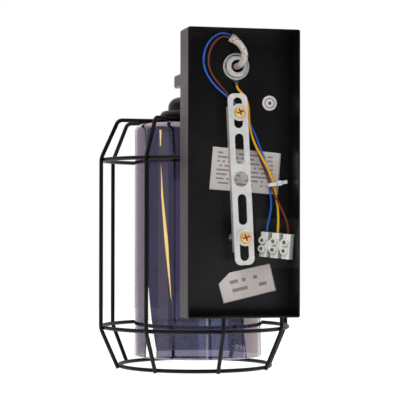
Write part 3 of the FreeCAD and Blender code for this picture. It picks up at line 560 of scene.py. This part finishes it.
MATERIALS = {
    "box_paint": powder_coat(
        "box_paint", (0.0036, 0.0036, 0.003, 1), (0.0075, 0.0075, 0.0066, 1), 0.28, 0.38
    ),
    "cage_paint": powder_coat(
        "cage_paint", (0.0035, 0.003, 0.0026, 1), (0.009, 0.0075, 0.0065, 1), 0.36, 0.5, shine=0.22
    ),
    "black_metal": powder_coat("black_metal", (0.01, 0.01, 0.01, 1), (0.02, 0.02, 0.02, 1), 0.3, 0.45),
    "zinc": bright_zinc(),
    "tin": plated_steel("tin", srgb(200, 198, 190), srgb(222, 220, 214), 0.25, 0.4),
    "strap_zinc": plated_steel("strap_zinc", srgb(208, 209, 205), srgb(230, 230, 226), 0.3, 0.45, metal=0.25),
    "yellow_zinc": passivated_zinc(),
    "black_plastic": moulded(
        "black_plastic", (0.005, 0.005, 0.006, 1), (0.01, 0.01, 0.012, 1), 0.25, 0.4, shine=0.3
    ),
    "white_plastic": nylon(),
    "tie_plastic": moulded("tie_plastic", srgb(214, 214, 210), srgb(232, 232, 228), 0.35, 0.5),
    "brass": plated_steel("brass", srgb(190, 150, 80), srgb(216, 182, 110), 0.25, 0.4),
    "screw_steel": plated_steel("screw_steel", srgb(150, 140, 116), srgb(190, 180, 150), 0.3, 0.45),
    "smoked_glass": smoked_glass(),
    "rubber": moulded("rubber", (0.02, 0.02, 0.02, 1), (0.035, 0.035, 0.035, 1), 0.6, 0.8),
    "sheet_plastic": moulded(
        "sheet_plastic", (0.014, 0.014, 0.014, 1), (0.024, 0.024, 0.023, 1), 0.4, 0.55
    ),
    "sleeve_fabric": braid(),
    "wire_blue": insulation("wire_blue", srgb(34, 92, 190), srgb(46, 108, 212)),
    "wire_brown": insulation("wire_brown", srgb(104, 40, 30), srgb(124, 52, 38)),
    "wire_earth": insulation("wire_earth", srgb(238, 166, 4), srgb(248, 182, 16), EARTH_STRIPE),
}


# Camera

def make_camera():
    flat = math.cos(CAMERA_PITCH)
    back = Vector((math.sin(CAMERA_YAW) * flat, math.cos(CAMERA_YAW) * flat, math.sin(CAMERA_PITCH)))
    level_right = Vector((0, 0, 1)).cross(back).normalized()
    level_up = back.cross(level_right)
    right = level_right * math.cos(CAMERA_ROLL) + level_up * math.sin(CAMERA_ROLL)
    up = level_up * math.cos(CAMERA_ROLL) - level_right * math.sin(CAMERA_ROLL)
    lens = bpy.data.cameras.new("camera")
    lens.sensor_width = SENSOR_WIDTH
    lens.lens = FOCAL_PIXELS * SENSOR_WIDTH / PICTURE_WIDTH
    lens.clip_end = CAMERA_REACH
    made = link_object("camera", lens)
    made.matrix_world = Matrix.Translation(CAMERA_PLACE) @ Matrix((right, up, back)).transposed().to_4x4()
    bpy.context.scene.camera = made


make_camera()


# Sleeve and wires

def route_line(name, route):
    """The points of the smooth line that a route controls, in metres."""
    curve = bpy.data.curves.new(name, "CURVE")
    curve.dimensions = "3D"
    curve.resolution_u = STEPS_PER_POINT
    spline = curve.splines.new("NURBS")
    spline.points.add(len(route) - 1)
    for point, (x, y, z) in zip(spline.points, route):
        point.co = (x * MM, y * MM, z * MM, 1.0)
    spline.order_u = 3
    spline.use_endpoint_u = True
    holder = bpy.data.objects.new(name, curve)
    mesh = bpy.data.meshes.new_from_object(holder)
    line = [v.co.copy() for v in mesh.vertices]
    bpy.data.meshes.remove(mesh)
    bpy.data.objects.remove(holder)
    bpy.data.curves.remove(curve)
    return line


def frames_along(line):
    """Two directions across the line at each of its points, which turn round it as little as they can.

    The first of the two starts along the plate. Where the line starts downward, it points to +X and the
    second to the plate.
    """
    frames = []
    across = None
    for i in range(len(line)):
        ahead = (line[min(i + 1, len(line) - 1)] - line[max(i - 1, 0)]).normalized()
        if across is None:
            across = ahead.cross(Vector((0, 1, 0))).normalized()
        across = (across - ahead * across.dot(ahead)).normalized()
        frames.append((across, ahead.cross(across)))
    return frames


def distances(line):
    """How far each point is along the line."""
    run = [0.0]
    for a, b in zip(line, line[1:]):
        run.append(run[-1] + (b - a).length)
    return run


def swept_tube(name, line, section, sides):
    """section(at, turn) gives the radius at a distance along the line and a turn from 0 to 1 round it."""
    run = distances(line)
    points, uvs = [], []
    for place, (side, lift), at in zip(line, frames_along(line), run):
        for j in range(sides):
            turn = j / sides
            angle = FULL_TURN * turn
            points.append(place + (side * math.cos(angle) + lift * math.sin(angle)) * section(at, turn))
    faces = grid_faces(len(line), sides, round_columns=True)
    for i in range(len(line) - 1):
        for j in range(sides):
            low, high = j / sides, (j + 1) / sides
            uvs += [(low, run[i]), (high, run[i]), (high, run[i + 1]), (low, run[i + 1])]
    first_cap = tuple(reversed(range(sides)))
    last_cap = tuple(range((len(line) - 1) * sides, len(line) * sides))
    faces += [first_cap, last_cap]
    uvs += [(0.0, run[0])] * sides + [(0.0, run[-1])] * sides
    return mesh_object(name, points, faces, uvs=uvs)


def ride_as(made, node):
    """A piece that stands for a CAD node rides on its body and takes its finish."""
    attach(made, nodes[node]["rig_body"])
    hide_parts(node)
    return paint(made, MATERIALS[slots[node]])


def make_cord(node, route, section, sides):
    line = route_line(node, route)
    made = ride_as(swept_tube(node + "_cord", line, section, sides), node)


def make_wire(node, route, diameter, seed):
    phase = random.Random(seed).random() * 6.0

    def section(at, turn):
        wave = math.sin(at * WIRE_WAVE_RATE + phase) * math.cos(FULL_TURN * turn)
        return diameter / 2 * (1 + WIRE_UNEVENNESS * wave)

    make_cord(node, route, section, WIRE_SIDES)


def make_sleeve():
    """The braid is soft: it opens at its cut end and creases on one side of its first bends."""

    def section(at, turn):
        angle = FULL_TURN * turn
        opening = FLARE * math.exp(-((at / FLARE_LENGTH) ** 2)) * abs(math.cos(angle)) ** FLARE_FLATNESS
        creased_side = max(0.0, math.cos(angle + CREASE_TURN))
        creased_stretch = math.exp(-((at - CREASE_CENTRE) / CREASE_REACH) ** 2)
        crease = CREASE * math.sin(at * CREASE_RATE) * creased_side * creased_stretch
        return SLEEVE_DIAMETER / 2 * (1 + opening) * (1 + crease)

    make_cord("heat_sleeve", SLEEVE_ROUTE, section, SLEEVE_SIDES)


make_sleeve()
make_wire("wire_blue", BLUE_ROUTE, CONDUCTOR_DIAMETER, 1)
make_wire("wire_brown", BROWN_ROUTE, CONDUCTOR_DIAMETER, 2)
make_wire("wire_earth", EARTH_ROUTE, EARTH_DIAMETER, 3)


# Lampholder's skirt with its thread

def make_threaded_skirt():
    """A turned wall with a thread round its outside, which runs out at both ends."""
    low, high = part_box("lampholder_skirt")
    axis = (low + high) / 2
    crest = (high.x - low.x) / 2
    bore = crest - SKIRT_WALL
    rows = int((high.z - low.z) / THREAD_PITCH * ROWS_PER_PITCH)
    points = []
    for i in range(rows + 1):
        z = low.z + (high.z - low.z) * i / rows
        fade = min(1.0, (z - low.z) / THREAD_RUN_OUT, (high.z - z) / THREAD_RUN_OUT)
        for j in range(SKIRT_SIDES):
            turn = j / SKIRT_SIDES
            along = ((z - low.z) / THREAD_PITCH - turn) % 1.0
            ridge = max(0.0, min(1.0, THREAD_CREST - abs(along - 0.5) * THREAD_FLANK))
            radius = crest - THREAD_DEPTH * (1 - ridge * fade)
            points.append(turned_point(axis, radius, turn, z))
    for z in (high.z, low.z):
        points += [turned_point(axis, bore, j / SKIRT_SIDES, z) for j in range(SKIRT_SIDES)]
    faces = grid_faces(rows + 3, SKIRT_SIDES, round_columns=True, round_rows=True)
    made = mesh_object("threaded_skirt", points, faces)
    made.data.set_sharp_from_angle(angle=math.radians(40))
    return ride_as(made, "lampholder_skirt")


make_threaded_skirt()


# Glass shade

def arc(centre, radius, start, end, steps):
    """Points on an arc, as radius from the shade's axis and height."""
    points = []
    for i in range(steps + 1):
        angle = start + (end - start) * i / steps
        points.append((centre[0] + radius * math.cos(angle), centre[1] + radius * math.sin(angle)))
    return points


def glass_profile(outer, top, bottom):
    """Round the wall from the hole on top: outside, lower rim and inside.

    Rings near the ends of the straight wall keep its shading level.
    """
    inner = outer - GLASS_WALL
    rim = GLASS_WALL / 2
    shoulder = (outer - GLASS_SHOULDER, top - GLASS_SHOULDER)
    rim_centre = (outer - rim, bottom + rim)
    wall_top = top - GLASS_SHOULDER - GLASS_ARRIS
    wall_bottom = bottom + rim + GLASS_ARRIS
    quarter = math.pi / 2
    return [
        (GLASS_HOLE_RADIUS, top),
        *arc(shoulder, GLASS_SHOULDER, quarter, 0, GLASS_ARC_STEPS),
        (outer, wall_top),
        (outer, wall_bottom),
        *arc(rim_centre, rim, 0, -math.pi, GLASS_ARC_STEPS),
        (inner, wall_bottom),
        (inner, wall_top),
        *arc(shoulder, GLASS_SHOULDER - GLASS_WALL, 0, quarter, GLASS_ARC_STEPS),
        (GLASS_HOLE_RADIUS, top - GLASS_WALL),
    ]


def make_glass():
    """A turned shell with a round shoulder, open below."""
    low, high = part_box("glass_shade")
    axis = (low + high) / 2
    profile = glass_profile((high.x - low.x) / 2, high.z, low.z)
    points = []
    for radius, z in profile:
        points += [turned_point(axis, radius, j / GLASS_SIDES, z) for j in range(GLASS_SIDES)]
    faces = grid_faces(len(profile), GLASS_SIDES, round_columns=True, round_rows=True)
    made = mesh_object("glass_cylinder", points, [tuple(reversed(f)) for f in faces])
    made.data.set_sharp_from_angle(angle=math.radians(50))
    return ride_as(made, "glass_shade")


make_glass()


# CAD nodes keep their shapes and take the finishes

def finish_cad_nodes():
    for name, slot in slots.items():
        if not nodes[name].hide_render:
            paint(nodes[name], MATERIALS[slot])


finish_cad_nodes()


# Labels on the plate

def thicken(made, offset):
    thick = made.modifiers.new("thickness", "SOLIDIFY")
    thick.thickness = PAPER_THICKNESS
    thick.offset = offset


def make_label(name, corners, material, seed, lift, cut=None):
    """A sheet of paper on the plate, with faint waves.

    cut holds how much of its top and left edges its upper left corner loses.
    """
    rng = random.Random(seed)
    waves = [(rng.uniform(2, 7), rng.uniform(2, 7), rng.uniform(0, 6.28)) for _ in range(5)]
    upper_left, upper_right, lower_right, lower_left = [Vector((x * MM, z * MM)) for x, z in corners]
    points, uvs_at = [], []
    for i in range(LABEL_ROWS + 1):
        v = i / LABEL_ROWS
        start = cut[0] * max(0.0, 1 - v / cut[1]) if cut else 0.0
        for j in range(LABEL_COLUMNS + 1):
            u = start + (1 - start) * j / LABEL_COLUMNS
            flat = upper_left.lerp(upper_right, u).lerp(lower_left.lerp(lower_right, u), v)
            wave = sum(math.sin(a * u * 3 + b * v * 3 + c) for a, b, c in waves) / len(waves)
            points.append((flat.x, PLATE_Y + lift + PAPER_WAVE * (1 + wave), flat.y))
            uvs_at.append((u, 1 - v))
    faces = grid_faces(LABEL_ROWS + 1, LABEL_COLUMNS + 1)
    uvs = [uvs_at[k] for face in faces for k in face]
    made = mesh_object(name, points, faces, uvs=uvs)
    thicken(made, 0.0)
    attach(made, "root")
    return paint(made, material)


def make_round_label():
    x, z = [value * MM for value in ROUND_LABEL_CENTRE]
    sides = ROUND_LABEL_SIDES
    y = PLATE_Y + ROUND_LABEL_LIFT
    points = [(x, PLATE_Y + ROUND_LABEL_MIDDLE_LIFT, z)]
    for i in range(1, ROUND_LABEL_RINGS + 1):
        radius = ROUND_LABEL_RADIUS * i / ROUND_LABEL_RINGS
        for j in range(sides):
            angle = FULL_TURN * j / sides
            points.append((x + radius * math.cos(angle), y, z + radius * math.sin(angle)))
    faces = [(0, 1 + (j + 1) % sides, 1 + j) for j in range(sides)]
    rings = grid_faces(ROUND_LABEL_RINGS, sides, round_columns=True)
    faces += [tuple(1 + k for k in reversed(f)) for f in rings]
    made = mesh_object("round_label", points, faces)
    thicken(made, -1.0)
    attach(made, "root")
    return paint(made, round_paper((x, PLATE_Y, z)))


rating_paper = paper("rating_paper", rows=8, words=26, across=(0.08, 0.9), upward=(0.12, 0.93))
make_label("rating_label", RATING_LABEL, rating_paper, 5, RATING_LIFT)
inspection_paper = paper("inspection_paper", rows=2, words=14, across=(0.2, 0.86), upward=(0.2, 0.8))
make_label("inspection_label", INSPECTION_LABEL, inspection_paper, 6, INSPECTION_LIFT, cut=INSPECTION_CUT)
make_round_label()


# Floor, world and lights

def stage_plane(name, centre, size, facing, material):
    """A rectangle of size (width, height) whose face looks along facing."""
    width, height = size
    facing = Vector(facing).normalized()
    side = Vector((0, 0, 1)).cross(facing)
    side = side.normalized() if side.length > 0.01 else Vector((1, 0, 0))
    half_side = side * (width / 2)
    half_lift = facing.cross(side) * (height / 2)
    corners = ((-1, -1), (1, -1), (1, 1), (-1, 1))
    points = [Vector(centre) + half_side * a + half_lift * b for a, b in corners]
    made = mesh_object(name, points, [(0, 1, 2, 3)], smooth=False)
    paint(made, material)
    return made


def seen_rays(tree):
    """1 for rays from the camera and for those that reflections and glass send on, and 0 for the rest."""
    path = tree.nodes.new("ShaderNodeLightPath")
    total = path.outputs["Is Camera Ray"]
    for name in ("Is Glossy Ray", "Is Transmission Ray"):
        both = tree.nodes.new("ShaderNodeMath")
        both.operation = "MAXIMUM"
        tree.links.new(total, both.inputs[0])
        tree.links.new(path.outputs[name], both.inputs[1])
        total = both.outputs["Value"]
    return total


def make_floor():
    """A pale floor that takes shadows, lifted to white for the rays that are seen."""
    n = Nodes("floor")
    n.colour(n.ramp(n.noise(3.0, 2.0), (0.3, (0.84, 0.84, 0.84, 1)), (0.7, (0.86, 0.86, 0.86, 1))))
    n.set(Roughness=0.9, Emission_Color=WHITE)
    n.link(n.math("MULTIPLY", seen_rays(n.tree), FLOOR_GLOW), n.shader.inputs["Emission Strength"])
    stage_plane("floor", (0, 0, FLOOR_Z), (FLOOR_SIZE, FLOOR_SIZE), (0, 0, 1), n.material)


def make_world():
    """White where it is seen, a little pink in reflections, and dimmer as light on the object."""
    world = bpy.data.worlds.new("world")
    bpy.context.scene.world = world
    world.use_nodes = True
    tree = world.node_tree
    background = tree.nodes["Background"]
    tint = tree.nodes.new("ShaderNodeMix")
    tint.data_type = "RGBA"
    tint.inputs[6].default_value = WHITE
    tint.inputs[7].default_value = (0.9, 0.78, 0.84, 1)
    path = tree.nodes.new("ShaderNodeLightPath")
    tree.links.new(path.outputs["Is Glossy Ray"], tint.inputs["Factor"])
    tree.links.new(tint.outputs[2], background.inputs["Color"])
    level = tree.nodes.new("ShaderNodeMapRange")
    level.inputs["To Min"].default_value = AMBIENT
    level.inputs["To Max"].default_value = 1.0
    tree.links.new(seen_rays(tree), level.inputs["Value"])
    tree.links.new(level.outputs["Result"], background.inputs["Strength"])


def area_light(name, place, size, power):
    """A square light that shines at the object and isn't seen in reflections."""
    lamp = bpy.data.lights.new(name, "AREA")
    lamp.shape = "RECTANGLE"
    lamp.size = lamp.size_y = size
    lamp.energy = power
    made = link_object(name, lamp)
    made.location = place
    made.rotation_mode = "QUATERNION"
    made.rotation_quaternion = (LAMPS_AIM - Vector(place)).to_track_quat("-Z", "Y")
    made.visible_glossy = False


make_floor()
make_world()
area_light("key", (0.9, 1.5, 1.2), 0.8, 17.0)
area_light("fill", (-1.4, 0.9, 0.3), 1.0, 5.0)


# Cards that only show in reflections, for the room that the glass mirrors

# The way that a card faces, by where it stands: behind the camera, to its left or right, or beyond the object
FACINGS = {"behind": (0, -1, 0), "left": (-1, 0, 0), "right": (1, 0, 0), "beyond": (-0.643, 0.766, 0)}

# Name, where it stands, centre, size as width and height, colour, strength
CARDS = [
    ("dark_back", "behind", (0, 2.4, 0.2), (4.4, 3.4), (0.012, 0.013, 0.02, 1), 1.0),
    ("dark_left", "left", (2.2, 0.55, 0.2), (3.7, 3.4), (0.03, 0.034, 0.08, 1), 1.0),
    ("dark_right", "right", (-2.2, 1.4, 0.2), (2.0, 3.4), (0.02, 0.02, 0.03, 1), 1.0),
    ("grey_left", "left", (2.18, 0.3, 0.2), (0.85, 3.4), (0.13, 0.115, 0.115, 1), 1.0),
    ("blue_low", "behind", (-0.85, 2.38, -0.38), (2.8, 0.3), (0.16, 0.2, 0.4, 1), 1.0),
    ("seam_a", "behind", (-0.1, 2.36, -0.38), (0.05, 0.4), (1.0, 0.82, 0.7, 1), 1.8),
    ("seam_b", "behind", (-0.42, 2.36, -0.38), (0.05, 0.4), (1.0, 0.82, 0.7, 1), 1.2),
    ("pale_left", "beyond", (1.67, -2.13, 0.6), (2.2, 2.4), (0.42, 0.36, 0.38, 1), 1.0),
    ("pale_right", "right", (-2.19, -0.6, 0.2), (2.0, 3.4), (0.9, 0.72, 0.66, 1), 1.0),
]

# Name, corners as Y and Z, colour, strength
SLANTED_CARDS_X = 2.15
SLANTED_CARDS = [
    (
        "gold_streak",
        [
            (0.11, 0.09), (0.3, 0.02), (0.72, -0.08), (1.03, -0.215), (0.93, -0.195), (0.44, -0.08),
            (0.14, 0.02),
        ],
        (1.0, 0.7, 0.18, 1), 4.0,
    ),
    ("gold_spot", [(-0.02, 0.165), (0.16, 0.165), (0.1, 0.125), (0.02, 0.125)], (1.0, 0.74, 0.25, 1), 3.6),
    (
        "white_flare",
        [(-1.36, -0.13), (-1.28, -0.14), (-0.75, -0.235), (-0.25, -0.3), (-0.25, -0.41), (-1.4, -0.41)],
        (1.0, 0.96, 0.88, 1), 4.0,
    ),
]


def glow(name, colour, strength):
    material = bpy.data.materials.new(name)
    material.use_nodes = True
    tree = material.node_tree
    tree.nodes.clear()
    out = tree.nodes.new("ShaderNodeOutputMaterial")
    shine = tree.nodes.new("ShaderNodeEmission")
    shine.inputs["Color"].default_value = colour
    shine.inputs["Strength"].default_value = strength
    tree.links.new(shine.outputs["Emission"], out.inputs["Surface"])
    return material


def only_reflected(made):
    made.visible_camera = False
    made.visible_diffuse = False
    made.visible_transmission = False
    made.visible_shadow = False


def make_card(name, stands, centre, size, colour, strength):
    only_reflected(stage_plane(name, centre, size, FACINGS[stands], glow(name, colour, strength)))


def make_slanted_card(name, corners, colour, strength):
    points = [(SLANTED_CARDS_X, y, z) for y, z in corners]
    made = mesh_object(name, points, [tuple(range(len(corners)))], smooth=False)
    paint(made, glow(name, colour, strength))
    only_reflected(made)


for card in CARDS:
    make_card(*card)
for card in SLANTED_CARDS:
    make_slanted_card(*card)

bpy.context.scene.view_settings.view_transform = "Standard"
